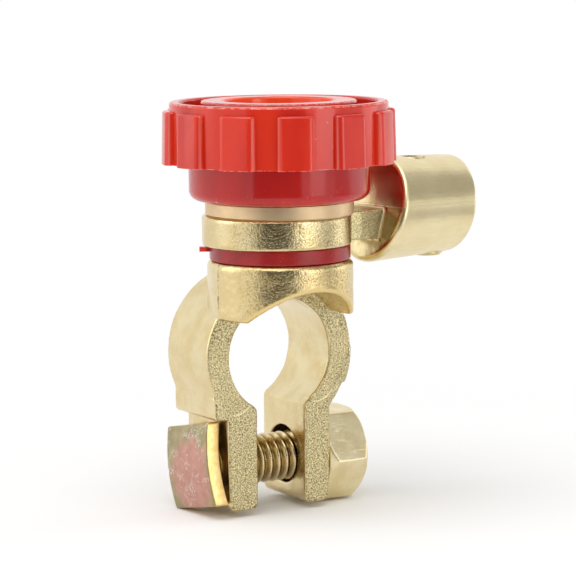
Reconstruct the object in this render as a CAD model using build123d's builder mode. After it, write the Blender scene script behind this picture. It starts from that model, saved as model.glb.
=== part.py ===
from build123d import *
import os
from math import cos, hypot, pi, radians, sin, tan

# Battery terminal disconnect switch: a cast clamp for a battery post, an insulated cable lug that turns on
# the clamp's upright stem, and a fluted knob whose brass contact nut screws down on the lug to close the
# circuit.
#
# All sizes are millimetres. The origin is where the knob's upright axis crosses the axis of the post bore,
# in the plane of the clamp ring's front face. +Z points up the knob's axis, +Y runs along the post bore
# away from the front, and +X runs along the clamp bolt towards its nut.

# Clearances
running_gap = 0.05
moulded_gap = 0.3

# Clamp ring and its post bore
bore_radius = 9.05
ring_radius = 13.1
ring_depth = 13.2
ring_step_height = -5.4
ring_step_radius = 12.6

# Round boss above the ring, which overhangs the front and is hollowed there by an arch
boss_radius = 11.4
boss_top = 15.3
boss_bottom = 6.4
boss_top_round = 0.9
arch_radius = 11.0
arch_round = 0.6

# Jaws under the ring
jaw_gap = 8.6
left_jaw_thickness = 5.3
right_jaw_thickness = 4.7
jaw_bottom = -24.15
jaw_root_height = -8.4
jaw_mouth_round = 1.1
jaw_corner_round = 1.2
cast_round = 0.3
jaw_draft = 0.3
shoulder_reach = 2.35
shoulder_bottom = -9.5
shoulder_round = 0.8

# Clamp bolt and nut
bolt_radius = 3.95
bolt_height = -17.5
bolt_depth = 7.1
bolt_drop = 0.35
bolt_hole_radius = 4.65
bolt_end_chamfer = 0.7
bolt_end_recess = 0.6
head_width = 13.1
head_thickness = 2.4
head_bow = 0.75
head_standoff = 0.4
head_tilt = 11.0
head_edge_round = 0.25
nut_sides = 6
nut_width = 14.0
nut_length = 7.15
nut_chamfer = 1.15
nut_turn = 3.5

# Upright stem of the clamp: a plain shank, then the thread's core
shank_radius = 5.0
shank_drop = 0.35
thread_core_radius = 4.1
stem_length = 17.7
stem_chamfer = 0.8

# Insulating bush: a washer with a sleeve round the shank and a small moulding nib on its rim
washer_radius = 11.0
washer_thickness = 2.3
washer_round = 0.25
sleeve_wall = 1.4
sleeve_drop = 0.2
nib_reach = 1.55
nib_width = 1.3
nib_thickness = 0.7
nib_drop = 0.4
nib_angle = 149.0

# Cable lug: a ring with a neck, and a blind barrel
lug_radius = 12.15
lug_thickness = 4.65
lug_round = 0.3
lug_angle = 5.0
neck_width = 7.6
neck_drop = 0.1
barrel_start = 17.85
barrel_length = 15.45
barrel_height = 21.92
barrel_radius_closed = 8.45
barrel_radius_mouth = 7.8
barrel_slant_closed = 15.0
barrel_slant_mouth = 6.5
barrel_round_closed = 0.9
barrel_round_mouth = 0.3
cable_bore_radius = 5.3
cable_bore_depth = 12.4
cable_bore_chamfer = 0.5

# Grub screws that hold the cable, one from above and one from below
grub_radius = 2.45
grub_length = 2.45
grub_chamfer = 0.4
socket_sides = 6
grub_socket_width = 2.5
grub_socket_depth = 1.5
top_grub_sink = 0.2
bottom_grub_proud = 0.25
top_grub_setback = 7.6
bottom_grub_setback = 4.0

# Contact nut: a flat flange that presses on the lug, and a grooved collar held in the knob
contact_radius = 11.6
contact_thickness = 2.35
contact_edge = 0.25
collar_radius = 7.5
collar_length = 6.4
collar_groove_depth = 0.9
collar_groove_width = 2.0
collar_groove_rise = 2.4
contact_mouth_chamfer = 0.9

# Knob: a plain skirt, a fluted grip, a raised rim, an inner ring and a bowl
skirt_radius = 14.1
skirt_height = 5.75
skirt_round = 1.6
lobe_count = 12
lobe_reach = 1.25
lobe_draft = 1.4
lobe_height = 8.2
lobe_width = 5.8
lobe_root_depth = 1.5
lobe_corner_round = 1.1
lobe_top_round = 0.45
lobe_phase = 8.0
rim_radius = 17.0
rim_height = 1.3
rim_width = 1.6
rim_round = 0.4
inner_ring_radius = 12.1
inner_ring_rise = 0.15
inner_ring_round = 0.4
groove_depth = 7.0
bowl_radius = 8.65
bowl_draft = 0.45
bowl_depth = 5.0
stem_cavity_gap = 0.5

# Levels up the knob's axis
stem_top = boss_top + stem_length
lug_bottom = boss_top + washer_thickness
lug_top = lug_bottom + lug_thickness
skirt_bottom = lug_top + contact_thickness
collar_top = skirt_bottom + collar_length
lobe_bottom = skirt_bottom + skirt_height
lobe_top = lobe_bottom + lobe_height
rim_top = lobe_top + rim_height
inner_ring_top = rim_top + inner_ring_rise

# How near an edge lies to the plane that it is chosen by
edge_tolerance = 0.1

# Places across the jaws
jaw_inner = jaw_gap / 2
left_jaw_outer = jaw_inner + left_jaw_thickness
right_jaw_outer = jaw_inner + right_jaw_thickness
shoulder_outer = left_jaw_outer + shoulder_reach

# The lug's own directions: out along the barrel, and the upright plane that holds its axis
lug_out = Vector(cos(radians(lug_angle)), sin(radians(lug_angle)), 0)
lug_side = Vector(-sin(radians(lug_angle)), cos(radians(lug_angle)), 0)
lug_plane = Plane(origin=(0, 0, 0), x_dir=lug_out, z_dir=-lug_side)
barrel_axis = Axis((0, 0, barrel_height), lug_out)
barrel_mouth = barrel_start + barrel_length


def lug_point(reach, height):
    """A point in the lug's upright plane, by its distance from the knob's axis and its height."""
    return lug_out * reach + Vector(0, 0, height)


def barrel_radius_at(reach):
    """The barrel's outer radius, which falls evenly from the closed end to the mouth."""
    share = (reach - barrel_start) / barrel_length
    return barrel_radius_closed + share * (barrel_radius_mouth - barrel_radius_closed)


def lug_cut(reach, slant):
    """A plane across the barrel, which leans outwards with height and faces the mouth."""
    facing = lug_out * cos(radians(slant)) - Vector(0, 0, sin(radians(slant)))
    return Plane(origin=lug_point(reach, barrel_height), z_dir=facing)


def along_depth(part, low, high):
    """Edges that run from the casting's front to its back and whose middles lie between two heights."""
    long_ones = [e for e in part.edges() if e.bounding_box().size.Y > ring_depth / 2]
    return [e for e in long_ones if low < e.center().Z < high]


def outline_at(part, depth, low, high):
    """Edges of a flat face at one depth whose middles lie between two heights."""
    flat = [e for e in part.edges() if e.bounding_box().size.Y < edge_tolerance]
    at_depth = [e for e in flat if abs(e.center().Y - depth) < edge_tolerance]
    return [e for e in at_depth if low < e.center().Z < high]


# Clamp body: boss, ring, jaws and stem in one casting
with BuildPart() as clamp_body:
    # Boss, hollowed by the arch under its overhanging half
    with BuildSketch(Plane.XY.offset(boss_bottom)):
        Circle(boss_radius)
    extrude(amount=boss_top - boss_bottom)
    fillet(clamp_body.faces().sort_by(Axis.Z)[-1].edges(), radius=boss_top_round)
    with BuildSketch(Plane.XZ):
        Circle(arch_radius)
    extrude(amount=2 * boss_radius, mode=Mode.SUBTRACT)
    arch_rim = clamp_body.edges().filter_by(GeomType.BSPLINE)
    lower_rim = clamp_body.edges().filter_by(GeomType.CIRCLE).group_by(Axis.Z)[0]
    fillet(arch_rim + lower_rim, radius=arch_round)
    # Ring, stepped in below a line on its right side
    with BuildSketch(Plane.XZ):
        Circle(ring_radius)
    extrude(amount=-ring_depth)
    with BuildSketch(Plane.XZ):
        with Locations((ring_radius, ring_step_height)):
            Rectangle(ring_radius, ring_radius, align=(Align.CENTER, Align.MAX))
        Circle(ring_step_radius, mode=Mode.SUBTRACT)
    extrude(amount=-ring_depth, mode=Mode.SUBTRACT)
    # Jaws, whose outer faces lean in towards the bottom, and the shoulder above the bolt's head
    with BuildSketch(Plane.XZ):
        with BuildLine():
            Polyline(
                (-shoulder_outer, 0),
                (-shoulder_outer, shoulder_bottom),
                (-left_jaw_outer, shoulder_bottom),
                (-left_jaw_outer, bolt_height),
                (-left_jaw_outer + jaw_draft, jaw_bottom),
                (right_jaw_outer - jaw_draft, jaw_bottom),
                (right_jaw_outer, bolt_height),
                (right_jaw_outer, jaw_root_height),
                (0, jaw_root_height),
                (0, 0),
                close=True,
            )
        make_face()
    extrude(amount=-ring_depth)
    # Slot between the jaws, and the post bore
    with BuildSketch(Plane.XZ):
        with Locations((0, jaw_bottom)):
            Rectangle(jaw_gap, -jaw_bottom, align=(Align.CENTER, Align.MIN))
        Circle(bore_radius)
    extrude(amount=-ring_depth, mode=Mode.SUBTRACT)
    # Rounds that run from front to back: the jaws' feet, the mouth of the slot and the shoulder's corner
    fillet(along_depth(clamp_body, jaw_bottom - edge_tolerance, bolt_height), radius=jaw_corner_round)
    mouth_edges = [e for e in along_depth(clamp_body, jaw_root_height - jaw_mouth_round, 0)
                   if abs(e.center().X) < jaw_inner + edge_tolerance]
    fillet(mouth_edges, radius=jaw_mouth_round)
    low_edges = along_depth(clamp_body, shoulder_bottom - edge_tolerance, shoulder_bottom + edge_tolerance)
    fillet([e for e in low_edges if e.center().X < -left_jaw_outer - edge_tolerance], radius=shoulder_round)
    # Bolt hole through both jaws
    with BuildSketch(Plane.YZ.offset(-left_jaw_outer - shoulder_reach)):
        with Locations((bolt_depth, bolt_height + bolt_drop)):
            Circle(bolt_hole_radius)
    extrude(amount=left_jaw_outer + right_jaw_outer + 2 * shoulder_reach, mode=Mode.SUBTRACT)
    # Stem
    with BuildSketch(Plane.XY.offset(boss_top)):
        Circle(shank_radius)
    extrude(amount=lug_top - shank_drop - boss_top)
    with BuildSketch(Plane.XY.offset(boss_top)):
        Circle(thread_core_radius)
    extrude(amount=stem_top - boss_top)
    stem_rim = clamp_body.faces().filter_by(Axis.Z).sort_by(Axis.Z)[-1].edges()
    chamfer(stem_rim, length=stem_chamfer)
    # Soft cast edges round the front face, and round the back face up to the ring
    foot = jaw_bottom - edge_tolerance
    fillet(outline_at(clamp_body, 0, foot, boss_bottom + arch_round), radius=cast_round)
    fillet(outline_at(clamp_body, ring_depth, foot, ring_step_height), radius=cast_round)

clamp_body.part.label = "clamp_body"

# Insulating bush
sleeve_radius = shank_radius + running_gap + sleeve_wall
with BuildPart() as insulating_bush:
    with BuildSketch(Plane.XY.offset(boss_top)):
        Circle(washer_radius)
    extrude(amount=washer_thickness)
    washer_edges = insulating_bush.edges().filter_by(GeomType.CIRCLE)
    fillet(washer_edges, radius=washer_round)
    with BuildSketch(Plane.XY.offset(lug_bottom)):
        Circle(sleeve_radius)
    extrude(amount=lug_thickness - sleeve_drop)
    with BuildSketch(Plane(origin=(0, 0, lug_bottom - nib_drop - nib_thickness), z_dir=(0, 0, 1),
                           x_dir=(cos(radians(nib_angle)), sin(radians(nib_angle)), 0))):
        with Locations((washer_radius + nib_reach, 0)):
            Rectangle(2 * nib_reach, nib_width, align=(Align.MAX, Align.CENTER))
    extrude(amount=nib_thickness)
    with BuildSketch(Plane.XY.offset(boss_top)):
        Circle(shank_radius + running_gap)
    extrude(amount=lug_top - boss_top, mode=Mode.SUBTRACT)

insulating_bush.part.label = "insulating_bush"

# The lug's ring, with a neck that starts clear of the bush's washer and ends at the barrel's closed end
neck_root = washer_radius + moulded_gap
neck_length = barrel_start + barrel_round_closed - neck_root
with BuildPart() as lug_ring:
    with BuildSketch(Plane.XY.offset(lug_bottom)):
        Circle(lug_radius)
    extrude(amount=lug_thickness)
    ring_rims = lug_ring.edges().filter_by(GeomType.CIRCLE)
    fillet(ring_rims, radius=lug_round)
    # Neck, cut off along the barrel's slanted end
    with BuildSketch(lug_plane.offset(-neck_width / 2)):
        with Locations((neck_root, lug_bottom - neck_drop)):
            Rectangle(neck_length, lug_thickness, align=(Align.MIN, Align.MIN))
    extrude(amount=neck_width)
    split(bisect_by=lug_cut(barrel_start, barrel_slant_closed), keep=Keep.BOTTOM)
    # Hole for the bush's sleeve
    with BuildSketch(Plane(origin=(0, 0, lug_bottom), x_dir=lug_out, z_dir=(0, 0, 1))):
        Circle(sleeve_radius + running_gap)
    extrude(amount=lug_thickness, mode=Mode.SUBTRACT)

lug_ring.part.label = "lug_ring"

# The lug's barrel: a cone about its own axis, cut aslant at both ends and bored blind for the cable
top_grub_reach = barrel_mouth - top_grub_setback
bottom_grub_reach = barrel_mouth - bottom_grub_setback
with BuildPart() as lug_barrel:
    cone_start = barrel_start - barrel_radius_closed
    cone_end = barrel_mouth + barrel_radius_mouth
    with BuildSketch(lug_plane):
        with BuildLine():
            Polyline(
                (cone_start, barrel_height),
                (cone_start, barrel_height + barrel_radius_at(cone_start)),
                (cone_end, barrel_height + barrel_radius_at(cone_end)),
                (cone_end, barrel_height),
                close=True,
            )
        make_face()
    revolve(axis=barrel_axis)
    split(bisect_by=lug_cut(barrel_start, barrel_slant_closed), keep=Keep.TOP)
    split(bisect_by=lug_cut(barrel_mouth, barrel_slant_mouth), keep=Keep.BOTTOM)
    fillet(lug_barrel.faces().sort_by(barrel_axis)[0].edges(), radius=barrel_round_closed)
    fillet(lug_barrel.faces().sort_by(barrel_axis)[-1].edges(), radius=barrel_round_mouth)
    bore_floor = barrel_mouth - cable_bore_depth
    with BuildSketch(Plane(origin=lug_point(bore_floor, barrel_height), z_dir=lug_out)):
        Circle(cable_bore_radius)
    extrude(amount=2 * cable_bore_depth, mode=Mode.SUBTRACT)
    bore_mouth = lug_barrel.faces().sort_by(barrel_axis)[-1].edges().sort_by(SortBy.LENGTH)[0]
    chamfer(bore_mouth, length=cable_bore_chamfer)
    # Threaded holes for the grub screws, one up and one down from the barrel's axis
    for reach, direction in ((top_grub_reach, 1), (bottom_grub_reach, -1)):
        with BuildSketch(Plane(origin=lug_point(reach, barrel_height), z_dir=(0, 0, direction))):
            Circle(grub_radius + running_gap)
        extrude(amount=2 * barrel_radius_closed, mode=Mode.SUBTRACT)

lug_barrel.part.label = "lug_barrel"


def grub_screw(reach, direction, proud):
    """A hexagon-socket grub screw whose flat end stands that far proud of the barrel on that side."""
    outer_height = barrel_height + direction * (barrel_radius_at(reach) + proud)
    outer_end = Plane(origin=lug_point(reach, outer_height), x_dir=lug_out, z_dir=(0, 0, -direction))
    with BuildPart() as screw:
        with BuildSketch(outer_end):
            Circle(grub_radius)
        extrude(amount=grub_length)
        chamfer(screw.edges().filter_by(GeomType.CIRCLE), length=grub_chamfer)
        with BuildSketch(outer_end):
            RegularPolygon(radius=grub_socket_width / 2, side_count=socket_sides, major_radius=False)
        extrude(amount=grub_socket_depth, mode=Mode.SUBTRACT)
    return screw


top_grub_screw = grub_screw(top_grub_reach, 1, -top_grub_sink)
top_grub_screw.part.label = "top_grub_screw"
bottom_grub_screw = grub_screw(bottom_grub_reach, -1, bottom_grub_proud)
bottom_grub_screw.part.label = "bottom_grub_screw"


def collar_outline(gap):
    """Half outline of the grooved collar, enlarged by a gap for the knob's own cavity."""
    groove_floor = collar_radius - collar_groove_depth + gap
    groove_low = skirt_bottom + collar_groove_rise + gap
    groove_high = skirt_bottom + collar_groove_rise + collar_groove_width - gap
    outer = collar_radius + gap
    return [
        (0, skirt_bottom), (outer, skirt_bottom), (outer, groove_low), (groove_floor, groove_low),
        (groove_floor, groove_high), (outer, groove_high), (outer, collar_top + gap), (0, collar_top + gap),
    ]


# Contact nut
with BuildPart() as contact_nut:
    with BuildSketch(Plane.XY.offset(lug_top)):
        Circle(contact_radius)
    extrude(amount=contact_thickness)
    chamfer(contact_nut.edges().filter_by(GeomType.CIRCLE), length=contact_edge)
    with BuildSketch(Plane.XZ):
        with BuildLine():
            Polyline(*collar_outline(0), close=True)
        make_face()
    revolve(axis=Axis.Z)
    with BuildSketch(Plane.XY.offset(lug_top)):
        Circle(thread_core_radius + running_gap)
    extrude(amount=collar_top - lug_top, mode=Mode.SUBTRACT)
    mouth = contact_nut.edges().filter_by(GeomType.CIRCLE).group_by(Axis.Z)[0].sort_by(SortBy.RADIUS)[0]
    chamfer(mouth, length=contact_mouth_chamfer)

contact_nut.part.label = "contact_nut"

# Knob
lobe_radius = rim_radius + lobe_reach
lobe_root_radius = rim_radius - lobe_root_depth
lobe_top_radius = lobe_radius - lobe_height * tan(radians(lobe_draft))


def lobe_rim_edges(part, low, high):
    """Edges at the lobes' outer faces whose middles lie between two heights."""
    inner_limit = lobe_top_radius - lobe_corner_round / 2
    near = [e for e in part.edges() if hypot(e.center().X, e.center().Y) > inner_limit]
    return [e for e in near if low < e.center().Z < high]


with BuildPart() as knob:
    # Lobes, which draw in a little towards the top
    with BuildSketch(Plane.XY.offset(lobe_bottom)):
        with PolarLocations(lobe_root_radius, lobe_count, start_angle=lobe_phase):
            Rectangle(2 * lobe_radius - lobe_root_radius, lobe_width, align=(Align.CENTER, Align.CENTER))
        Circle(lobe_root_radius - lobe_corner_round, mode=Mode.SUBTRACT)
    extrude(amount=lobe_height)
    with BuildSketch(Plane.XZ):
        with BuildLine():
            Polyline(
                (0, lobe_bottom),
                (lobe_radius, lobe_bottom),
                (lobe_top_radius, lobe_top),
                (0, lobe_top),
                close=True,
            )
        make_face()
    revolve(axis=Axis.Z, mode=Mode.INTERSECT)
    upright = lobe_rim_edges(knob, lobe_bottom + edge_tolerance, lobe_top - edge_tolerance)
    fillet(upright, radius=lobe_corner_round)
    level = lobe_rim_edges(knob, lobe_top - edge_tolerance, lobe_top + edge_tolerance)
    fillet(level, radius=lobe_top_round)
    # Grip body up to the rim, and the skirt with its rounded foot
    with BuildSketch(Plane.XY.offset(lobe_bottom)):
        Circle(rim_radius)
    extrude(amount=rim_top - lobe_bottom)
    with BuildSketch(Plane.XY.offset(skirt_bottom)):
        Circle(skirt_radius)
    extrude(amount=skirt_height)
    fillet(knob.faces().sort_by(Axis.Z)[0].edges(), radius=skirt_round)
    # Annular groove between the rim and the inner ring
    with BuildSketch(Plane.XY.offset(rim_top - groove_depth)):
        Circle(rim_radius - rim_width)
        Circle(inner_ring_radius, mode=Mode.SUBTRACT)
    extrude(amount=groove_depth, mode=Mode.SUBTRACT)
    # The inner ring stands a trace above the rim
    with BuildSketch(Plane.XY.offset(rim_top)):
        Circle(inner_ring_radius)
    extrude(amount=inner_ring_rise)
    # Bowl, a little narrower at its floor
    with BuildSketch(Plane.XZ):
        with BuildLine():
            Polyline(
                (0, inner_ring_top - bowl_depth),
                (bowl_radius - bowl_draft, inner_ring_top - bowl_depth),
                (bowl_radius, inner_ring_top),
                (0, inner_ring_top),
                close=True,
            )
        make_face()
    revolve(axis=Axis.Z, mode=Mode.SUBTRACT)
    # Rounded edges on the rim and the inner ring
    top_levels = (rim_top - rim_round / 2, rim_top + inner_ring_rise / 2)
    near_top = knob.edges().filter_by_position(Axis.Z, *top_levels)
    rim_edges = near_top.filter_by(lambda e: e.length > 2 * pi * inner_ring_radius + rim_round)
    fillet(rim_edges, radius=rim_round)
    fillet(knob.edges().group_by(Axis.Z)[-1], radius=inner_ring_round)
    # Cavity for the contact nut's collar and, above it, the end of the stem
    with BuildSketch(Plane.XZ):
        with BuildLine():
            Polyline(*collar_outline(running_gap), close=True)
        make_face()
    revolve(axis=Axis.Z, mode=Mode.SUBTRACT)
    with BuildSketch(Plane.XY.offset(collar_top)):
        Circle(shank_radius + moulded_gap)
    extrude(amount=stem_top + stem_cavity_gap - collar_top, mode=Mode.SUBTRACT)

knob.part.label = "knob"

# Clamp bolt: a square head, bowed like a leaf, on a threaded shank
bolt_end = right_jaw_outer + nut_length - bolt_end_recess
head_start = -left_jaw_outer - head_standoff
head_plane = Plane(
    origin=(head_start, bolt_depth, bolt_height),
    x_dir=(-1, 0, 0),
    z_dir=(0, cos(radians(head_tilt)), -sin(radians(head_tilt))),
)
with BuildPart() as clamp_bolt:
    with BuildSketch(head_plane.offset(-head_width / 2)):
        with BuildLine():
            inner_bow = ThreePointArc((0, head_width / 2), (head_bow, 0), (0, -head_width / 2))
            outer_bow = ThreePointArc((head_thickness, head_width / 2), (head_bow + head_thickness, 0),
                                      (head_thickness, -head_width / 2))
            Line(inner_bow @ 0, outer_bow @ 0)
            Line(inner_bow @ 1, outer_bow @ 1)
        make_face()
    extrude(amount=head_width)
    fillet(clamp_bolt.edges(), radius=head_edge_round)
    shank_start = head_start - head_bow - head_thickness / 2
    with BuildSketch(Plane.YZ.offset(shank_start)):
        with Locations((bolt_depth, bolt_height)):
            Circle(bolt_radius)
    extrude(amount=bolt_end - shank_start)
    shank_end = clamp_bolt.faces().sort_by(Axis.X)[-1].edges()
    chamfer(shank_end, length=bolt_end_chamfer)

clamp_bolt.part.label = "clamp_bolt"

# Clamp nut: a hexagon with both ends turned to a cone
nut_corner_radius = nut_width / 2 / cos(pi / nut_sides)
nut_face_radius = nut_corner_radius - nut_chamfer
with BuildPart() as clamp_nut:
    with BuildSketch(Plane.YZ.offset(right_jaw_outer)):
        with Locations((bolt_depth, bolt_height)):
            RegularPolygon(radius=nut_corner_radius, side_count=nut_sides, rotation=nut_turn)
            Circle(bolt_radius + running_gap, mode=Mode.SUBTRACT)
    extrude(amount=nut_length)
    with BuildSketch(Plane.XY.offset(bolt_height)):
        with BuildLine():
            Polyline(
                (right_jaw_outer, bolt_depth),
                (right_jaw_outer, bolt_depth + nut_face_radius),
                (right_jaw_outer + nut_chamfer, bolt_depth + nut_corner_radius),
                (right_jaw_outer + nut_length - nut_chamfer, bolt_depth + nut_corner_radius),
                (right_jaw_outer + nut_length, bolt_depth + nut_face_radius),
                (right_jaw_outer + nut_length, bolt_depth),
                close=True,
            )
        make_face()
    revolve(axis=Axis((0, bolt_depth, bolt_height), (1, 0, 0)), mode=Mode.INTERSECT)

clamp_nut.part.label = "clamp_nut"

os.makedirs("parts", exist_ok=True)
for piece in (clamp_body, insulating_bush, lug_ring, lug_barrel, top_grub_screw, bottom_grub_screw,
              contact_nut, knob, clamp_bolt, clamp_nut):
    export_step(piece.part, f"parts/{piece.part.label}.step")
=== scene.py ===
from math import atan2, cos, floor, hypot, radians, sin, tau

import bmesh
import bpy
from mathutils import Matrix, Vector, noise

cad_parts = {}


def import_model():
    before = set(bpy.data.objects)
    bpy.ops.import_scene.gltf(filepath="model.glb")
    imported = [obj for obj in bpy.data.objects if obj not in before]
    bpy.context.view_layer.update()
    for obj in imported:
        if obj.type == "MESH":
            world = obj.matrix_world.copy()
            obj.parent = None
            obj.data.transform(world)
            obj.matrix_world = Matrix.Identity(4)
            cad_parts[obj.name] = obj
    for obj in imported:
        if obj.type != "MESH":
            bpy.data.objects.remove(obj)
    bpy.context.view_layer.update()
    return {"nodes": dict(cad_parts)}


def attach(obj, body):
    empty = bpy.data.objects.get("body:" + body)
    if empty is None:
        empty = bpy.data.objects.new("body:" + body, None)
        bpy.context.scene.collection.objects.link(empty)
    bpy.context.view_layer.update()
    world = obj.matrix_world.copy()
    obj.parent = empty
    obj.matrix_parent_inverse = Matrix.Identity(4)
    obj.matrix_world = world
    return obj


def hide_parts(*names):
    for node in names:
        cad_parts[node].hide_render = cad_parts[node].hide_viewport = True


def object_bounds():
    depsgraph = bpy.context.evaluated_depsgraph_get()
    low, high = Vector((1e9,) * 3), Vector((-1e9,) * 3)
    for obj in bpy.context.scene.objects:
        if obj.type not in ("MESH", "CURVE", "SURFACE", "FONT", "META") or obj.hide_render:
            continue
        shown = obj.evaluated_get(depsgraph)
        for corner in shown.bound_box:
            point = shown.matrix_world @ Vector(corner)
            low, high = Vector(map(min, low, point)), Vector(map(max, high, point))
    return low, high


# The finish of a battery terminal disconnect switch: cast, turned and plated metal, and red mouldings.
# Everything is in metres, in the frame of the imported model. Sizes written in millimetres are times MM.
MM = 0.001

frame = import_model()


# Node trees

class Nodes:
    """A material's node tree, with its principled shader, and helpers that keep what follows short."""

    def __init__(self, name):
        self.material = bpy.data.materials.new(name)
        self.material.use_nodes = True
        self.tree = self.material.node_tree
        self.shader = self.tree.nodes["Principled BSDF"]
        self.place = self.millimetres()

    def add(self, kind, inputs=None, **settings):
        """A node with its settings and its inputs, each of them a socket to link or a value."""
        node = self.tree.nodes.new(kind)
        for key, value in settings.items():
            setattr(node, key, value)
        for key, value in (inputs or {}).items():
            self.set(node, key, value)
        return node

    def set(self, node, key, value):
        if isinstance(value, bpy.types.NodeSocket):
            self.tree.links.new(value, node.inputs[key])
        else:
            node.inputs[key].default_value = value

    def millimetres(self):
        """The place on the piece, in millimetres."""
        coordinates = self.add("ShaderNodeTexCoord")
        self.normal = coordinates.outputs["Normal"]
        scaled = self.add("ShaderNodeVectorMath", {0: coordinates.outputs["Object"], 1: (1000, 1000, 1000)},
                          operation="MULTIPLY")
        return scaled.outputs[0]

    def scaled(self, factors, vector=None):
        """The place in millimetres, or another vector, with each of its parts scaled."""
        node = self.add("ShaderNodeVectorMath", {0: vector or self.place, 1: factors}, operation="MULTIPLY")
        return node.outputs[0]

    def subtract(self, first, second):
        return self.add("ShaderNodeVectorMath", {0: first, 1: second}, operation="SUBTRACT").outputs[0]

    def dot(self, first, second):
        node = self.add("ShaderNodeVectorMath", {0: first, 1: second}, operation="DOT_PRODUCT")
        return node.outputs["Value"]

    def length(self, vector):
        return self.add("ShaderNodeVectorMath", {0: vector}, operation="LENGTH").outputs["Value"]

    def noise(self, scale, detail=2.0, rough=0.5, place=None):
        """Noise whose scale is in cycles a millimetre."""
        node = self.add("ShaderNodeTexNoise", {"Vector": place or self.place, "Scale": scale, "Detail": detail,
                                               "Roughness": rough})
        return node.outputs["Fac"]

    def ramp(self, value, low, high, to_low=0.0, to_high=1.0):
        """A smooth step of a value between two limits."""
        node = self.add("ShaderNodeMapRange", {"Value": value, "From Min": low, "From Max": high, "To Min": to_low,
                                               "To Max": to_high}, interpolation_type="SMOOTHSTEP")
        return node.outputs[0]

    def maths(self, operation, first, second=0.0, third=0.0):
        return self.add("ShaderNodeMath", {0: first, 1: second, 2: third}, operation=operation).outputs[0]

    def mix(self, amount, first, second):
        """A colour between two others."""
        node = self.add("ShaderNodeMix", data_type="RGBA")
        self.set(node, 0, amount)
        self.set(node, 6, first)
        self.set(node, 7, second)
        return node.outputs[2]

    def along(self, vector, axis):
        """One part of a vector: 0, 1 or 2 for X, Y or Z."""
        return self.add("ShaderNodeSeparateXYZ", {0: vector}).outputs[axis]

    def bump(self, height, depth, strength=1.0, under=None):
        """A bump of that depth in millimetres, on top of another one if given."""
        node = self.add("ShaderNodeBump", {"Height": height, "Distance": depth * MM, "Strength": strength})
        if under is not None:
            self.set(node, "Normal", under)
        return node.outputs["Normal"]

    def finish(self, **inputs):
        """Sets the shader's inputs, whose names are written with _ for spaces."""
        for key, value in inputs.items():
            self.set(self.shader, key.replace("_", " "), value)
        return self.material


def rgb(red, green, blue):
    """A colour of the photograph, 0 to 255, as the linear colour that shaders take."""
    def linear(value):
        share = value / 255
        return share / 12.92 if share <= 0.04045 else ((share + 0.055) / 1.055) ** 2.4
    return (linear(red), linear(green), linear(blue), 1.0)


# Sizes that the CAD model also has
bolt_radius = 3.95 * MM
bolt_height = -17.5 * MM
bolt_depth = 7.1 * MM
bolt_end = 15.55 * MM
head_start = -10.0 * MM
head_width = 13.1 * MM
head_thickness = 2.4 * MM
head_bow = 0.75 * MM
head_tilt = radians(11)
stem_radius = 4.1 * MM
stem_top = 33.0 * MM
lug_angle = radians(5)
lobe_turn = tau / 12
lobe_phase = radians(8)

# Threads, which the CAD model has as plain cylinders
bolt_pitch = 1.48 * MM
bolt_thread_depth = 0.62 * MM
stem_foot = 21.9 * MM
stem_sunk = 0.5 * MM
stem_pitch = 1.5 * MM
stem_thread_depth = 0.6 * MM
thread_sides = 72
rows_per_pitch = 14
flat_crest = 0.12
flat_root = 0.82

# Voxels that keep each recast piece under 200,000 triangles
clamp_voxel = 0.23 * MM
lug_voxel = 0.19 * MM
nut_voxel = 0.16 * MM

# The step between the jaws' front faces and the ring's, in millimetres: its line sags on either side
step_middles = (-8.2, 6.6)
step_heights = (-8.8, -7.9)
step_rise = 0.2
step_depth = 0.24

# How far the lug ring's wall stands in, and towards where most of all
ring_shift = 0.50 * MM
ring_shift_angle = radians(-30.8)

# Marks in the finishes
parting_height = 22.62 * MM
lobe_edge_turn = radians(9.1)


# Materials

def grained(n, pits, wrinkles, under, colour):
    """The colour, the bump and the roughness of sand-cast faces: pitted where flat, and finely wrinkled but
    glossy elsewhere, with painted shade darkening the pits and the wrinkles' hollows. Pits and wrinkles are the
    shares of each."""
    relief = 0.13 * MM
    grain = n.noise(4.0, 3.0, 0.75)
    leather = n.noise(3.0, 2.0, 0.65)
    # Painted shade darkens the pits
    pitted = n.mix(n.ramp(grain, 0.36, 0.62), rgb(80, 66, 30), rgb(240, 226, 176))
    # Painted shade darkens the wrinkles' hollows
    wrinkled = n.mix(n.ramp(leather, 0.38, 0.52), rgb(132, 110, 60), colour)
    colour = n.mix(n.maths("MULTIPLY", wrinkles, 0.42), colour, wrinkled)
    colour = n.mix(n.maths("MULTIPLY", pits, 0.85), colour, pitted)
    wavy = n.add("ShaderNodeBump", {"Height": leather, "Distance": relief, "Normal": under,
                                    "Strength": n.maths("MULTIPLY", wrinkles, 0.48)})
    strength = n.maths("MULTIPLY_ADD", pits, 0.85, 0.04)
    bump = n.add("ShaderNodeBump", {"Height": grain, "Distance": relief, "Strength": strength,
                                    "Normal": wavy.outputs[0]})
    shine = n.maths("MULTIPLY_ADD", pits, 0.12, n.maths("MULTIPLY_ADD", grain, 0.14, 0.13))
    return colour, bump.outputs[0], shine


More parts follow.
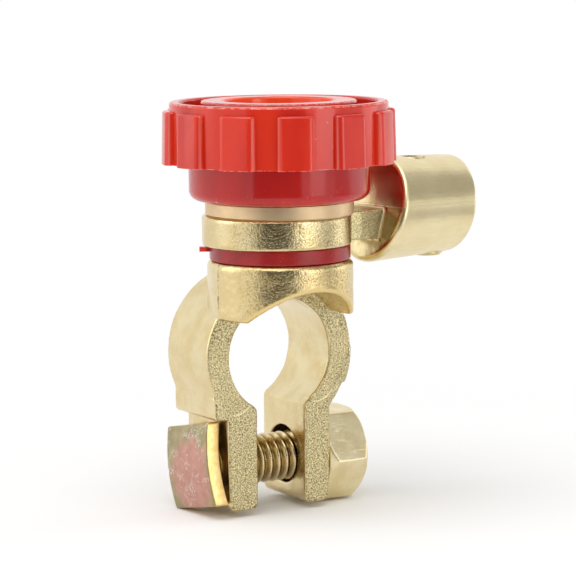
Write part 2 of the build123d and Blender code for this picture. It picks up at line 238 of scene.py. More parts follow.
def cast_brass():
    """Pitted flat faces in front and behind, a glossier wrinkled boss, and smoother sides, with painted highlights
    along the jaws' step and on the ground edge round the bore.
    """
    n = Nodes("cast_brass")
    ring_middle = 6.6
    boss_foot = 8.0
    from_bore = n.length(n.scaled((1, 0, 1)))
    depth = n.along(n.place, 1)
    before = n.ramp(depth, -0.5, -0.3, 1.0, 0.0)
    ground_band_and_highlight = n.maths("MULTIPLY", n.ramp(from_bore, 11.8, 12.3, 1.0, 0.0), before)
    facing = n.maths("ABSOLUTE", n.along(n.normal, 1))
    from_middle = n.maths("ABSOLUTE", n.maths("SUBTRACT", depth, ring_middle))
    at_face = n.maths("MULTIPLY", n.ramp(from_middle, 6.1, 6.4), n.maths("SUBTRACT", 1.0, before))
    pits = n.maths("MULTIPLY", n.ramp(facing, 0.5, 0.8), at_face)
    # The step where the jaws' faces stand before the ring's: a painted highlight along its edge, and fewer pits
    # there
    across = n.along(n.place, 0)
    right_side = n.maths("GREATER_THAN", across, 0.0)
    middle = n.maths("MULTIPLY_ADD", right_side, step_middles[1] - step_middles[0], step_middles[0])
    off_middle = n.maths("SUBTRACT", across, middle)
    lip_height = n.maths("MULTIPLY_ADD", right_side, step_heights[1] - step_heights[0], step_heights[0] + 0.05)
    sag = n.maths("MULTIPLY_ADD", n.maths("MULTIPLY", off_middle, off_middle), step_rise, lip_height)
    off_lip = n.maths("SUBTRACT", n.along(n.place, 2), sag)
    at_front = n.ramp(depth, 1.5, 2.0, 1.0, 0.0)
    lip_highlight = n.maths("MULTIPLY", n.ramp(n.maths("ABSOLUTE", off_lip), 0.06, 0.24, 1.0, 0.0), at_front)
    pits = n.maths("MULTIPLY", pits, n.maths("MULTIPLY_ADD", lip_highlight, -0.75, 1.0))
    wrinkles = n.maths("MULTIPLY", n.maths("MULTIPLY", n.ramp(facing, 0.36, 0.58), before),
                       n.maths("SUBTRACT", 1.0, ground_band_and_highlight))
    # The broken dark seam down the boss's side
    off_seam = n.maths("ABSOLUTE", n.maths("ADD", depth, 0.35))
    seam = n.maths("MULTIPLY", n.ramp(off_seam, 0.1, 0.3, 1.0, 0.0), n.ramp(n.noise(1.6, 3.0, 0.7), 0.48, 0.58))
    seam = n.maths("MULTIPLY", seam, n.ramp(n.along(n.place, 2), boss_foot - 0.5, boss_foot + 0.5))
    cloud = n.noise(0.22, 3.0, 0.6)
    pale = n.mix(n.ramp(cloud, 0.35, 0.7), rgb(229, 213, 170), rgb(219, 198, 147))
    pale = n.mix(n.maths("MULTIPLY", before, 0.55), pale, rgb(222, 196, 136))
    # The ground edge round the bore: smoother, and its amber colour is partly a painted highlight
    pale = n.mix(n.maths("MULTIPLY", ground_band_and_highlight, 0.6), pale, rgb(232, 204, 138))
    # Painted highlight along the jaws' step
    pale = n.mix(n.maths("MULTIPLY", lip_highlight, 0.5), pale, rgb(242, 230, 186))
    pale = n.mix(n.maths("MULTIPLY", seam, 0.75), pale, rgb(104, 88, 46))
    low = n.bump(n.noise(0.8, 3.0, 0.6), 0.08, 0.45)
    colour, bump, shine = grained(n, pits, wrinkles, low, pale)
    shine = n.maths("ADD", shine, 0.05)
    return n.finish(Base_Color=colour, Metallic=1.0, Roughness=shine, Normal=bump)


def lug_brass():
    """A wrinkled ring, a pitted neck darkened with painted shade, and a smoother barrel with drawn streaks and a
    fine parting line.
    """
    n = Nodes("lug_brass")
    neck_half_width = 3.8
    neck_bottom, neck_top = 17.3, 22.3
    height = n.along(n.place, 2)
    reach = n.length(n.scaled((1, 1, 0)))
    side = n.dot(n.place, (-sin(lug_angle), cos(lug_angle), 0))
    off_side = n.maths("ABSOLUTE", side)
    on_ring = n.ramp(reach, 12.3, 12.6, 1.0, 0.0)
    beside = n.maths("MULTIPLY", n.ramp(off_side, neck_half_width, neck_half_width + 0.1, 1.0, 0.0),
                     n.ramp(reach, 17.6, 18.0, 1.0, 0.0))
    level = n.maths("MULTIPLY", n.ramp(height, neck_bottom, neck_bottom + 0.1),
                    n.ramp(height, neck_top, neck_top + 0.1, 1.0, 0.0))
    past_ring = n.maths("MULTIPLY", n.ramp(reach, 11.2, 11.5), n.ramp(n.along(n.place, 0), 8.0, 9.0))
    on_neck = n.maths("MULTIPLY", n.maths("MULTIPLY", beside, level), past_ring)
    closed_end = n.ramp(n.along(n.normal, 0), -0.75, -0.9)
    crinkled = n.maths("MULTIPLY", on_ring, n.ramp(n.maths("ABSOLUTE", n.along(n.normal, 1)), 0.3, 0.52))
    crinkled = n.maths("MULTIPLY", crinkled, n.maths("SUBTRACT", 1.0, on_neck))
    cloud = n.noise(0.25, 3.0, 0.6)
    streaks = n.noise(1.0, 4.0, 0.75, n.scaled((0.18, 2.6, 2.6)))
    pale = n.mix(n.ramp(cloud, 0.3, 0.7), rgb(229, 212, 166), rgb(217, 195, 143))
    on_barrel = n.maths("MULTIPLY", n.ramp(reach, 15.0, 16.0), n.maths("SUBTRACT", 1.0, closed_end))
    pale = n.mix(n.maths("MULTIPLY", on_barrel, 0.45), pale, rgb(248, 236, 196))
    pale = n.mix(n.maths("MULTIPLY", n.ramp(streaks, 0.45, 0.75), 0.22), pale, rgb(196, 176, 120))
    # Painted shade: the neck is darkened to olive
    pale = n.mix(n.maths("MULTIPLY", on_neck, 0.5), pale, rgb(176, 164, 118))
    off_line = n.maths("ABSOLUTE", n.maths("SUBTRACT", height, parting_height / MM))
    line = n.ramp(off_line, 0.04, 0.14, 1.0, 0.0)
    pale = n.mix(n.maths("MULTIPLY", line, 0.35), pale, rgb(250, 240, 208))
    low = n.bump(n.noise(0.6, 3.0, 0.55), 0.05, 0.12)
    drawn = n.bump(streaks, 0.025, 0.5, n.bump(line, 0.03, 0.5, low))
    # The closed end's upper part leans sideways
    dish = n.maths("MULTIPLY", closed_end, n.ramp(height, 21.5, 28.0, 0.06, 1.0))
    dished = n.add("ShaderNodeBump", {"Height": side, "Distance": 0.18 * MM, "Strength": dish, "Normal": drawn})
    colour, bump, shine = grained(n, n.maths("MULTIPLY", on_neck, 0.45), crinkled, dished.outputs[0], pale)
    shine = n.maths("MULTIPLY_ADD", on_barrel, 0.11, shine)
    return n.finish(Base_Color=colour, Metallic=1.0, Roughness=shine, Normal=bump)


def turned_brass():
    """A machined disc with fine level tool marks."""
    n = Nodes("turned_brass")
    marks = n.noise(1.0, 3.0, 0.7, n.scaled((0.25, 0.25, 9.0)))
    cloud = n.noise(0.3, 2.0)
    colour = n.mix(n.ramp(cloud, 0.3, 0.7), rgb(229, 202, 162), rgb(217, 189, 149))
    shine = n.maths("MULTIPLY_ADD", marks, 0.14, 0.40)
    return n.finish(Base_Color=colour, Metallic=1.0, Roughness=shine, Normal=n.bump(marks, 0.02, 0.5))


def nut_brass():
    """Drawn hexagon brass with fine scratches along and across its flats."""
    n = Nodes("nut_brass")
    drawn = n.noise(1.0, 3.0, 0.7, n.scaled((0.5, 8.0, 8.0)))
    cross = n.noise(1.0, 3.0, 0.7, n.scaled((9.0, 0.9, 0.9)))
    scratches = n.ramp(n.noise(1.0, 4.0, 0.8, n.scaled((0.4, 5.0, 5.0))), 0.60, 0.68)
    cloud = n.noise(0.3, 2.0)
    colour = n.mix(n.ramp(cloud, 0.3, 0.7), rgb(242, 229, 190), rgb(230, 213, 166))
    colour = n.mix(n.maths("MULTIPLY", n.ramp(cross, 0.5, 0.7), 0.2), colour, rgb(176, 154, 104))
    colour = n.mix(n.maths("MULTIPLY", scratches, 0.4), colour, rgb(250, 242, 212))
    shine = n.maths("MULTIPLY_ADD", drawn, 0.22, 0.22)
    under = n.bump(drawn, 0.03, 0.5, n.bump(cross, 0.02, 0.4))
    bump = n.bump(scratches, 0.02, 0.4, under)
    return n.finish(Base_Color=colour, Metallic=1.0, Roughness=shine, Normal=bump)


def plated_steel():
    """Yellow-passivated zinc: rose and olive on the end, bright yellow sides, and white scratches."""
    n = Nodes("plated_steel")
    blot_centre = (-12.6, 6.2, -18.9)
    end_face = n.ramp(n.along(n.normal, 0), -0.65, -0.4, 1.0, 0.0)
    across = n.length(n.subtract(n.place, blot_centre))
    blot = n.maths("MULTIPLY_ADD", n.noise(0.35, 3.0, 0.6), 5.0, across)
    olive = n.mix(n.ramp(n.noise(0.5, 3.0, 0.6), 0.35, 0.65), rgb(174, 160, 120), rgb(154, 144, 104))
    rose = n.mix(n.ramp(n.noise(0.7, 3.0, 0.6), 0.3, 0.7), rgb(200, 152, 136), rgb(188, 138, 122))
    film = n.mix(n.ramp(blot, 7.2, 9.8), rose, olive)
    gold = n.mix(n.ramp(n.noise(1.2, 3.0, 0.6), 0.3, 0.7), rgb(234, 202, 142), rgb(218, 182, 112))
    colour = n.mix(end_face, gold, film)
    lines = n.maths("ABSOLUTE", n.maths("SUBTRACT", n.noise(0.55, 5.0, 0.65), 0.5))
    drawn = n.ramp(lines, 0.004, 0.012, 1.0, 0.0)
    where = n.ramp(n.noise(0.3, 1.0, 0.5), 0.48, 0.56)
    scratches = n.maths("MULTIPLY", n.maths("MULTIPLY", drawn, where), end_face)
    colour = n.mix(n.maths("MULTIPLY", scratches, 0.75), colour, rgb(244, 240, 236))
    grain = n.noise(2.6, 3.0, 0.6)
    shine = n.maths("MULTIPLY_ADD", grain, 0.2, n.maths("MULTIPLY_ADD", end_face, 0.16, 0.22))
    bump = n.bump(grain, 0.05, 0.4)
    metal = n.maths("MULTIPLY_ADD", end_face, -0.35, 1.0)
    return n.finish(Base_Color=colour, Metallic=metal, Roughness=shine, Normal=n.bump(scratches, 0.03, 0.5, bump))


def thread_steel():
    """The bolt's thread: bronze with painted shade in the grooves, and pale with a painted highlight on the
    crests.
    """
    n = Nodes("thread_steel")
    radius = n.length(n.scaled((0, 1, 1), n.subtract(n.place, (0, bolt_depth / MM, bolt_height / MM))))
    # Painted shade in the grooves and a painted highlight on the crests, by distance from the axis
    groove_shade_crest_highlight = n.ramp(radius, (bolt_radius - bolt_thread_depth) / MM, bolt_radius / MM)
    colour = n.mix(groove_shade_crest_highlight, rgb(134, 111, 66), rgb(232, 214, 172))
    patches = n.ramp(n.noise(0.5, 3.0), 0.4, 0.65)
    colour = n.mix(n.maths("MULTIPLY", patches, 0.3), colour, rgb(192, 160, 116))
    grain = n.noise(2.5, 3.0, 0.6)
    shine = n.maths("MULTIPLY_ADD", grain, 0.16, 0.16)
    return n.finish(Base_Color=colour, Metallic=1.0, Roughness=shine, Normal=n.bump(grain, 0.03, 0.3))


def grub_steel():
    """Plain yellowish plating."""
    n = Nodes("grub_steel")
    grain = n.noise(1.6, 3.0, 0.6)
    colour = n.mix(grain, rgb(196, 178, 122), rgb(232, 216, 168))
    shine = n.maths("MULTIPLY_ADD", grain, 0.2, 0.26)
    return n.finish(Base_Color=colour, Metallic=1.0, Roughness=shine, Normal=n.bump(grain, 0.03, 0.3))


def knob_plastic():
    """Bright orange-red moulding, with painted shade darkening the skirt, painted highlights on its sharp edges,
    whitish flash, specks and scuffs.
    """
    n = Nodes("knob_plastic")
    lobes_bottom, lobes_top = 30.4, 39.5
    height = n.along(n.place, 2)
    reach = n.length(n.scaled((1, 1, 0)))
    grip = n.ramp(height, 29.9, 30.6)
    flow = n.noise(0.18, 2.0, 0.5, n.scaled((1.0, 1.0, 0.35)))
    red = n.mix(n.ramp(flow, 0.3, 0.7), rgb(216, 50, 26), rgb(200, 40, 26))
    # Painted shade: the skirt under the lobes is a darker red
    dark = n.mix(n.ramp(flow, 0.3, 0.7), rgb(190, 32, 25), rgb(176, 27, 25))
    colour = n.mix(grip, dark, red)
    # Thin walls round the bowl let light through
    thin = n.maths("MULTIPLY", n.ramp(reach, 8.9, 9.4, 1.0, 0.0), n.ramp(height, 35.2, 36.5))
    colour = n.mix(thin, colour, rgb(240, 84, 34))
    # Painted highlights along the rim, round the ring inside it and down each lobe's corners, and whitish flash
    # along the lobes' foot
    turn = n.maths("ARCTAN2", n.along(n.place, 1), n.along(n.place, 0))
    turn = n.maths("SUBTRACT", turn, lobe_phase)
    lobe = n.maths("ABSOLUTE", n.maths("WRAP", turn, lobe_turn / 2, -lobe_turn / 2))
    off_edge = n.maths("ABSOLUTE", n.maths("SUBTRACT", lobe, lobe_edge_turn))
    # Painted highlight down each lobe's corners
    beside = n.maths("MULTIPLY", n.ramp(off_edge, 0.004, 0.014, 1.0, 0.0), n.ramp(reach, 17.4, 17.7))
    rim = n.maths("MULTIPLY", n.ramp(reach, 16.75, 16.9), n.ramp(height, lobes_top, lobes_top + 0.15))
    foot = n.maths("MULTIPLY", n.ramp(height, lobes_bottom - 0.05, lobes_bottom + 0.1, 1.0, 0.0),
                   n.ramp(reach, 16.6, 16.9))
    # Painted highlight along the front edge of the ring inside the rim
    inner_ring_highlight = n.maths("MULTIPLY", n.ramp(height, lobes_top + 0.2, lobes_top + 0.35), n.ramp(reach, 11.5, 11.7))
    inner_ring_highlight = n.maths("MULTIPLY", inner_ring_highlight, n.ramp(reach, 12.2, 12.4, 1.0, 0.0))
    rim = n.maths("MAXIMUM", rim, n.maths("MULTIPLY", inner_ring_highlight, 0.5))
    broken = n.ramp(n.noise(1.3, 3.0, 0.7), 0.42, 0.62)
    rim_highlight_and_foot_flash = n.maths("MULTIPLY", n.maths("MAXIMUM", rim, foot), broken)
    edges = n.maths("MAXIMUM", n.maths("MULTIPLY", beside, 0.3), rim_highlight_and_foot_flash)
    # Painted highlights and whitish flash, mixed in as pale pink
    colour = n.mix(n.maths("MULTIPLY", edges, 0.6), colour, rgb(248, 190, 176))
    specks = n.ramp(n.noise(1.1, 2.0, 0.5), 0.77, 0.8)
    colour = n.mix(n.maths("MULTIPLY", specks, 0.6), colour, rgb(240, 190, 180))
    # Scuffs round the skirt's foot
    scuffs = n.ramp(n.noise(1.0, 4.0, 0.75, n.scaled((3.0, 3.0, 0.6))), 0.6, 0.72)
    low_band = n.maths("MULTIPLY", n.ramp(height, 24.6, 25.6), n.ramp(height, 26.6, 28.0, 1.0, 0.0))
    scuffed = n.maths("MULTIPLY", scuffs, low_band)
    colour = n.mix(n.maths("MULTIPLY", scuffed, 0.5), colour, rgb(224, 130, 130))
    grain = n.noise(0.9, 3.0, 0.6)
    shine = n.maths("MULTIPLY_ADD", grain, 0.10, 0.10)
    bumps = n.bump(grain, 0.012, 0.3)
    return n.finish(Base_Color=colour, Roughness=shine, Normal=n.bump(specks, 0.03, 0.4, bumps),
                    Subsurface_Weight=0.25, Subsurface_Radius=(1.0, 0.25, 0.08), Subsurface_Scale=1.4 * MM,
                    IOR=1.49)


def bush_plastic():
    """Red moulding, darkened with painted shade where it lies between brass pieces, and brighter where its nib
    stands out of the rim.
    """
    n = Nodes("bush_plastic")
    reach = n.length(n.scaled((1, 1, 0)))
    flow = n.noise(0.3, 3.0, 0.6)
    # Painted shade: the bush is a darker red than the knob's plastic
    colour = n.mix(n.ramp(flow, 0.3, 0.7), rgb(164, 28, 26), rgb(146, 22, 22))
    colour = n.mix(n.ramp(reach, 11.3, 11.7), colour, rgb(232, 60, 40))
    grain = n.noise(1.2, 3.0, 0.6)
    shine = n.maths("MULTIPLY_ADD", grain, 0.15, 0.18)
    return n.finish(Base_Color=colour, Roughness=shine, Normal=n.bump(grain, 0.02, 0.3),
                    Subsurface_Weight=0.15, Subsurface_Radius=(1.0, 0.2, 0.1), Subsurface_Scale=1.0 * MM)


# Pieces

def share_between(value, start, end):
    """How far a value has come from one limit to another, from 0 to 1."""
    return min(1, max(0, (value - start) / (end - start)))


def new_object(name, verts, faces):
    """A smooth-shaded object from points and faces."""
    mesh = bpy.data.meshes.new(name)
    mesh.from_pydata([tuple(v) for v in verts], [], faces)
    mesh.validate()
    mesh.update()
    piece = bpy.data.objects.new(name, mesh)
    bpy.context.scene.collection.objects.link(piece)
    mesh.polygons.foreach_set("use_smooth", [True] * len(mesh.polygons))
    return piece


def loft(name, rows):
    """A closed skin through rows of points, each row a ring with the same number of points."""
    around = len(rows[0])
    verts = [point for row in rows for point in row]
    faces = []
    for r in range(len(rows) - 1):
        for c in range(around):
            d = (c + 1) % around
            faces.append((r * around + c, r * around + d, (r + 1) * around + d, (r + 1) * around + c))
    faces.append(tuple(reversed(range(around))))
    faces.append(tuple((len(rows) - 1) * around + c for c in range(around)))
    return new_object(name, verts, faces)


def shade_by_angle(piece, degrees):
    """Keeps edges sharper than an angle crisp, and shades the rest smooth."""
    mesh = piece.data
    mesh.polygons.foreach_set("use_smooth", [True] * len(mesh.polygons))
    mesh.set_sharp_from_angle(angle=radians(degrees))


def baked(piece):
    """Puts a piece's modifiers into its mesh."""
    bpy.context.view_layer.update()
    depsgraph = bpy.context.evaluated_depsgraph_get()
    mesh = bpy.data.meshes.new_from_object(piece.evaluated_get(depsgraph))
    piece.modifiers.clear()
    piece.data = mesh
    return piece


def recast(nodes, name, voxel, smoothing, below=None):
    """One piece from copies of CAD nodes, with an even fine mesh and softened edges. Above a height, if one is
    given, it is cut off."""
    bm = bmesh.new()
    for node in nodes:
        bm.from_mesh(frame["nodes"][node].data)
    mesh = bpy.data.meshes.new(name)
    bm.to_mesh(mesh)
    bm.free()
    piece = bpy.data.objects.new(name, mesh)
    bpy.context.scene.collection.objects.link(piece)
    if below is not None:
        cut_above(piece, below)
    remesh = piece.modifiers.new("remesh", "REMESH")
    remesh.mode = "VOXEL"
    remesh.voxel_size = voxel
    soften = piece.modifiers.new("soften", "SMOOTH")
    soften.factor = 0.5
    soften.iterations = smoothing
    baked(piece)
    piece.data.materials.clear()
    piece.data.polygons.foreach_set("use_smooth", [True] * len(piece.data.polygons))
    return piece


def cut_above(piece, height):
    """Removes what lies above a height and closes the cut."""
    bm = bmesh.new()
    bm.from_mesh(piece.data)
    bmesh.ops.remove_doubles(bm, verts=bm.verts, dist=1e-7)
    everything = list(bm.verts) + list(bm.edges) + list(bm.faces)
    bmesh.ops.bisect_plane(bm, geom=everything, plane_co=(0, 0, height), plane_no=(0, 0, 1), clear_outer=True)
    rim = [e for e in bm.edges if e.is_boundary and all(abs(v.co.z - height) < 1e-6 for v in e.verts)]
    bmesh.ops.contextual_create(bm, geom=rim)
    bm.to_mesh(piece.data)
    bm.free()


def weather(piece, waves, amounts):
    """Moves points in and out along their normals by noise of several wavelengths, as sand casting leaves. On the
    whole they go in, so that the piece keeps inside the CAD model."""
    inward = 0.2
    mesh = piece.data
    normals = [v.normal.copy() for v in mesh.vertices]
    for v, normal in zip(mesh.vertices, normals):
        move = sum(amount * (noise.noise(v.co / wave) - inward) for wave, amount in zip(waves, amounts))
        v.co += normal * move
    mesh.update()


def set_back(piece):
    """Sets the ring's front face a little behind the jaws', along a line that sags on either side. The step fades
    out towards the boss and into the depth."""
    mesh = piece.data
    for v in mesh.vertices:
        x, y, z = (part / MM for part in v.co)
        right = int(x >= 0)
        line = step_heights[right] + step_rise * (x - step_middles[right]) ** 2
        share = share_between(z - line, 0, 0.3) * share_between(y, 1.6, 0.6) * share_between(z, 6.0, 2.0)
        v.co.y += step_depth * MM * share
    mesh.update()


def off_centre(piece):
    """Moves the lug ring's wall in, most of all on its front right, as the real ring is a little off the stem.
    Its hole and the barrel stay."""
    hole_side, wall_side, neck_side, barrel_side = 8.5, 11.0, 12.6, 13.6
    mesh = piece.data
    for v in mesh.vertices:
        reach = hypot(v.co.x, v.co.y) / MM
        angle = atan2(v.co.y, v.co.x)
        share = share_between(reach, hole_side, wall_side) * share_between(reach, barrel_side, neck_side)
        move = ring_shift * (1 + cos(angle - ring_shift_angle)) * share
        v.co.x -= move * cos(angle)
        v.co.y -= move * sin(angle)
    mesh.update()


def thread_rows(start, end, radius, depth, pitch, place):
    """Rings of points along a threaded rod, whose radius follows the thread's helix. place turns a distance
    along the rod, a radius and an angle into a point."""
    count = round((end - start) / (pitch / rows_per_pitch))
    rows = []
    for r in range(count + 1):
        along = start + (end - start) * r / count
        edge = min(along - start, end - along)
        row = []
        for c in range(thread_sides):
            angle = tau * c / thread_sides
            turn = along / pitch - c / thread_sides
            from_crest = abs(2 * (turn - floor(turn)) - 1)
            groove = depth * share_between(from_crest, flat_crest, flat_root)
            end_taper = max(0, depth - edge)
            row.append(place(along, radius - max(groove, end_taper), angle))
        rows.append(row)
    return rows


def on_bolt(along, radius, angle):
    """A point on the bolt."""
    return Vector((along, bolt_depth + radius * cos(angle), bolt_height + radius * sin(angle)))


def on_stem(along, radius, angle):
    """A point on the stem."""
    return Vector((radius * cos(angle), radius * sin(angle), along))


def bolt_head():
    """A square plate bowed like a leaf, with softened edges."""
    steps = 16
    worn_edge = 0.28 * MM
    half = head_width / 2
    across = Vector((0, sin(head_tilt), cos(head_tilt)))
    side = Vector((0, cos(head_tilt), -sin(head_tilt)))
    centre = Vector((head_start, bolt_depth, bolt_height))
    rows = []
    for r in range(steps + 1):
        height = half * (2 * r / steps - 1)
        bow = head_bow * (1 - (height / half) ** 2)
        middle = centre + across * height
        ring = []
        for out, reach in ((0, -1), (0, 1), (1, 1), (1, -1)):
            outward = bow + out * head_thickness
            ring.append(middle + side * (reach * half) - Vector((outward, 0, 0)))
        rows.append(ring)
    head = loft("bolt_head", rows)
    bevel = head.modifiers.new("edges", "BEVEL")
    bevel.width = worn_edge
    bevel.segments = 4
    bevel.limit_method = "ANGLE"
    bevel.angle_limit = radians(40)
    baked(head)
    shade_by_angle(head, 40)
    return head


# Clamp
clamp = recast(("clamp_body",), "clamp_casting", clamp_voxel, smoothing=4, below=stem_foot)
set_back(clamp)
weather(clamp, (2.6 * MM, 0.9 * MM), (0.05 * MM, 0.025 * MM))
clamp.data.materials.append(cast_brass())
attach(clamp, "clamp")
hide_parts("clamp_body")

rows = thread_rows(stem_foot - stem_sunk, stem_top, stem_radius, stem_thread_depth, stem_pitch, on_stem)
stem = loft("stem_thread", rows)
stem.data.materials.append(nut_brass())
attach(stem, "clamp")
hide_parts("clamp_body")

# Lug
lug = recast(("lug_ring", "lug_barrel"), "lug_casting", lug_voxel, smoothing=4)
off_centre(lug)
weather(lug, (3.0 * MM, 0.9 * MM), (0.025 * MM, 0.010 * MM))
lug.data.materials.append(lug_brass())
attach(lug, "lug")
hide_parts("lug_ring", "lug_barrel")

# Bolt
head = bolt_head()
head.data.materials.append(plated_steel())
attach(head, "bolt")
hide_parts("clamp_bolt")
rows = thread_rows(head_start - head_bow, bolt_end, bolt_radius, bolt_thread_depth, bolt_pitch, on_bolt)
shank = loft("bolt_thread", rows)
shank.data.materials.append(thread_steel())
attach(shank, "bolt")
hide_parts("clamp_bolt")

# Nut, with its edges a little rounded by wear
nut = recast(("clamp_nut",), "worn_nut", nut_voxel, smoothing=2)
nut.data.materials.append(nut_brass())
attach(nut, "nut")
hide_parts("clamp_nut")

# Pieces whose CAD shape stays and takes a finish
finishes = {
    "insulating_bush": bush_plastic(),
    "top_grub_screw": grub_steel(),
    "bottom_grub_screw": grub_steel(),
    "contact_nut": turned_brass(),
    "knob": knob_plastic(),
}
for node, finish in finishes.items():
    piece = frame["nodes"][node]
    for place in piece.material_slots:
        place.material = finish
    shade_by_angle(piece, 30)


# Stage

def white_to_the_eye(tree, lit, background):
    """Mixes a lit shader with plain white, which camera, mirror and glass rays see."""
    nodes, links = tree.nodes, tree.links
    path = nodes.new("ShaderNodeLightPath")
    seen = nodes.new("ShaderNodeMath")
    seen.operation = "MAXIMUM"
    links.new(path.outputs["Is Camera Ray"], seen.inputs[0])
    other = nodes.new("ShaderNodeMath")
    other.operation = "MAXIMUM"
    links.new(path.outputs["Is Glossy Ray"], other.inputs[0])
    links.new(path.outputs["Is Transmission Ray"], other.inputs[1])
    links.new(other.outputs[0], seen.inputs[1])
    mixed = nodes.new("ShaderNodeMixShader")
    links.new(seen.outputs[0], mixed.inputs[0])
    links.new(lit, mixed.inputs[1])
    links.new(background, mixed.inputs[2])
    return mixed.outputs[0]


def floor_material(grey, white_from, white_to):
    """A pale floor that fades to plain white away from the object."""
    material = bpy.data.materials.new("floor")
    material.use_nodes = True
    tree = material.node_tree
    nodes, links = tree.nodes, tree.links
    surface = nodes["Principled BSDF"]
    surface.inputs["Base Color"].default_value = (grey, grey, grey, 1)
    surface.inputs["Roughness"].default_value = 1.0
    surface.inputs["Specular IOR Level"].default_value = 0.0
    white = nodes.new("ShaderNodeEmission")
    white.inputs["Strength"].default_value = 1.0
    place = nodes.new("ShaderNodeTexCoord")
    distance = nodes.new("ShaderNodeVectorMath")
    distance.operation = "LENGTH"
    links.new(place.outputs["Object"], distance.inputs[0])
    fade = nodes.new("ShaderNodeMapRange")
    fade.interpolation_type = "SMOOTHSTEP"
    fade.inputs["From Min"].default_value = white_from
    fade.inputs["From Max"].default_value = white_to
    links.new(distance.outputs["Value"], fade.inputs["Value"])
    near = nodes.new("ShaderNodeMixShader")
    links.new(fade.outputs[0], near.inputs[0])
    links.new(surface.outputs[0], near.inputs[1])
    links.new(white_to_the_eye(tree, surface.outputs[0], white.outputs[0]), near.inputs[2])
    links.new(near.outputs[0], nodes["Material Output"].inputs["Surface"])
    return material


def world(strength):
    """Soft white light from all round, and a plain white background."""
    sky = bpy.data.worlds.new("studio")
    bpy.context.scene.world = sky
    sky.use_nodes = True
    tree = sky.node_tree
    nodes, links = tree.nodes, tree.links
    lit = nodes["Background"]
    lit.inputs["Color"].default_value = (1, 1, 1, 1)
    lit.inputs["Strength"].default_value = strength
    white = nodes.new("ShaderNodeBackground")
    white.inputs["Color"].default_value = (1, 1, 1, 1)
    white.inputs["Strength"].default_value = 1.0
    seen = white_to_the_eye(tree, lit.outputs[0], white.outputs[0])
    links.new(seen, nodes["World Output"].inputs["Surface"])


def panel(name, azimuth, elevation, distance, width, height, power):
    """A lamp that faces the object. Azimuth 0 is in front and 90 to the right."""
    a, e = radians(azimuth), radians(elevation)
    outward = Vector((sin(a) * cos(e), -cos(a) * cos(e), sin(e)))
    lamp = bpy.data.lights.new(name, "AREA")
    lamp.shape = "RECTANGLE"
    lamp.size, lamp.size_y = width, height
    lamp.energy = power
    thing = bpy.data.objects.new(name, lamp)
    bpy.context.scene.collection.objects.link(thing)
    thing.location = aim + outward * distance
    thing.rotation_euler = outward.to_track_quat("Z", "Y").to_euler()


def dark_screen(name, start, end, bottom, top, distance, grey, top_grey):
    """An upright curved screen, between two azimuths and two heights, that only shows as a dark reflection. Its
    grey changes evenly from the bottom to the top."""
    steps = 12
    verts = []
    for c in range(steps + 1):
        a = radians(start + (end - start) * c / steps)
        for height in (bottom, top):
            verts.append((aim.x + sin(a) * distance, aim.y - cos(a) * distance, height))
    faces = [(2 * c, 2 * c + 2, 2 * c + 3, 2 * c + 1) for c in range(steps)]
    card = new_object(name, verts, faces)
    material = bpy.data.materials.new(name)
    material.use_nodes = True
    nodes, links = material.node_tree.nodes, material.node_tree.links
    place = nodes.new("ShaderNodeTexCoord")
    parts = nodes.new("ShaderNodeSeparateXYZ")
    links.new(place.outputs["Object"], parts.inputs[0])
    level = nodes.new("ShaderNodeMapRange")
    level.inputs["From Min"].default_value = bottom
    level.inputs["From Max"].default_value = top
    level.inputs["To Min"].default_value = grey
    level.inputs["To Max"].default_value = top_grey
    links.new(parts.outputs[2], level.inputs["Value"])
    glow = nodes.new("ShaderNodeEmission")
    links.new(level.outputs[0], glow.inputs["Color"])
    links.new(glow.outputs[0], nodes["Material Output"].inputs["Surface"])
    card.data.materials.append(material)
    card.visible_camera = False
    card.visible_shadow = False
    card.visible_diffuse = False
    card.visible_transmission = False


aim = Vector((0, 6 * MM, 8 * MM))
world(strength=0.62)

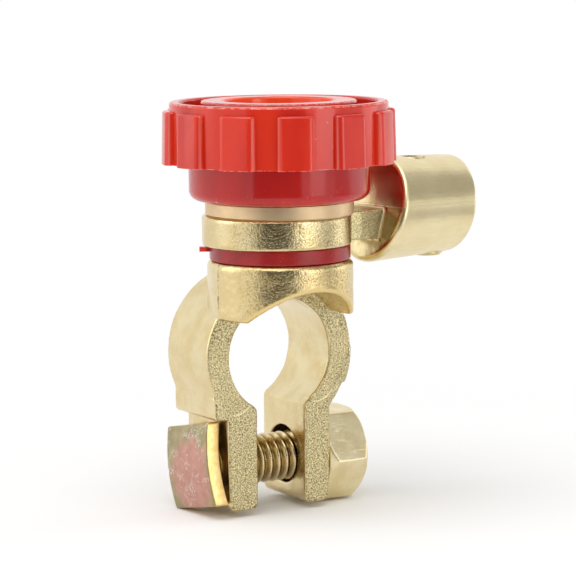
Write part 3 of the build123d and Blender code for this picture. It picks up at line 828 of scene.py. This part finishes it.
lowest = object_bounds()[0][2]
floor_half = 6.0
corners = [(x * floor_half, y * floor_half, 0) for x, y in ((-1, -1), (1, -1), (1, 1), (-1, 1))]
floor_object = new_object("floor", corners, [(0, 1, 2, 3)])
floor_object.location = (0, 0, lowest)
floor_object.data.materials.append(floor_material(grey=0.98, white_from=0.05, white_to=0.16))

panel("strip_lamp", azimuth=18, elevation=6, distance=0.60, width=0.22, height=0.34, power=0.48)
panel("top_lamp", azimuth=-50, elevation=68, distance=0.60, width=0.50, height=0.50, power=1.6)
panel("left_lamp", azimuth=-118, elevation=22, distance=0.70, width=0.45, height=0.60, power=0.9)
panel("right_lamp", azimuth=80, elevation=20, distance=0.70, width=0.40, height=0.60, power=0.8)

screen_distance = 0.15
dark_screen("front_screen", -60, -4, lowest, 0.10, screen_distance, grey=0.10, top_grey=0.10)
dark_screen("right_screen", 26, 90, 0.044, 0.36, screen_distance, grey=0.38, top_grey=0.62)
dark_screen("low_screen", 39, 64, lowest, 0.018, screen_distance, grey=0.45, top_grey=0.45)


# Camera, as the photograph was taken
camera_turn = radians(30.80)
camera_dip = radians(7.42)
camera_roll = radians(0.52)
camera_distance = 428.26 * MM
sensor_width = 36
image_width = 576
focal_pixels = 2734.5
origin_pixel_right = -6.94
origin_pixel_down = 67.17


def place_camera():
    """Aims the camera so that the frame's origin falls on its pixel, counted from the picture's middle."""
    ahead = Vector((sin(camera_turn) * cos(camera_dip), cos(camera_turn) * cos(camera_dip), -sin(camera_dip)))
    level = Vector((cos(camera_turn), -sin(camera_turn), 0))
    under = ahead.cross(level)
    right = level * cos(camera_roll) + under * sin(camera_roll)
    down = under * cos(camera_roll) - level * sin(camera_roll)
    scale = camera_distance / focal_pixels
    to_origin = ahead * camera_distance
    to_origin = right * (origin_pixel_right * scale) + down * (origin_pixel_down * scale) + to_origin
    data = bpy.data.cameras.new("camera")
    data.sensor_width = sensor_width
    data.lens = sensor_width * focal_pixels / image_width
    data.clip_start = 0.01
    camera = bpy.data.objects.new("camera", data)
    bpy.context.scene.collection.objects.link(camera)
    turn = Matrix((right, -down, -ahead)).transposed().to_4x4()
    camera.matrix_world = Matrix.Translation(-to_origin) @ turn
    bpy.context.scene.camera = camera


place_camera()
bpy.context.scene.view_settings.view_transform = "Standard"
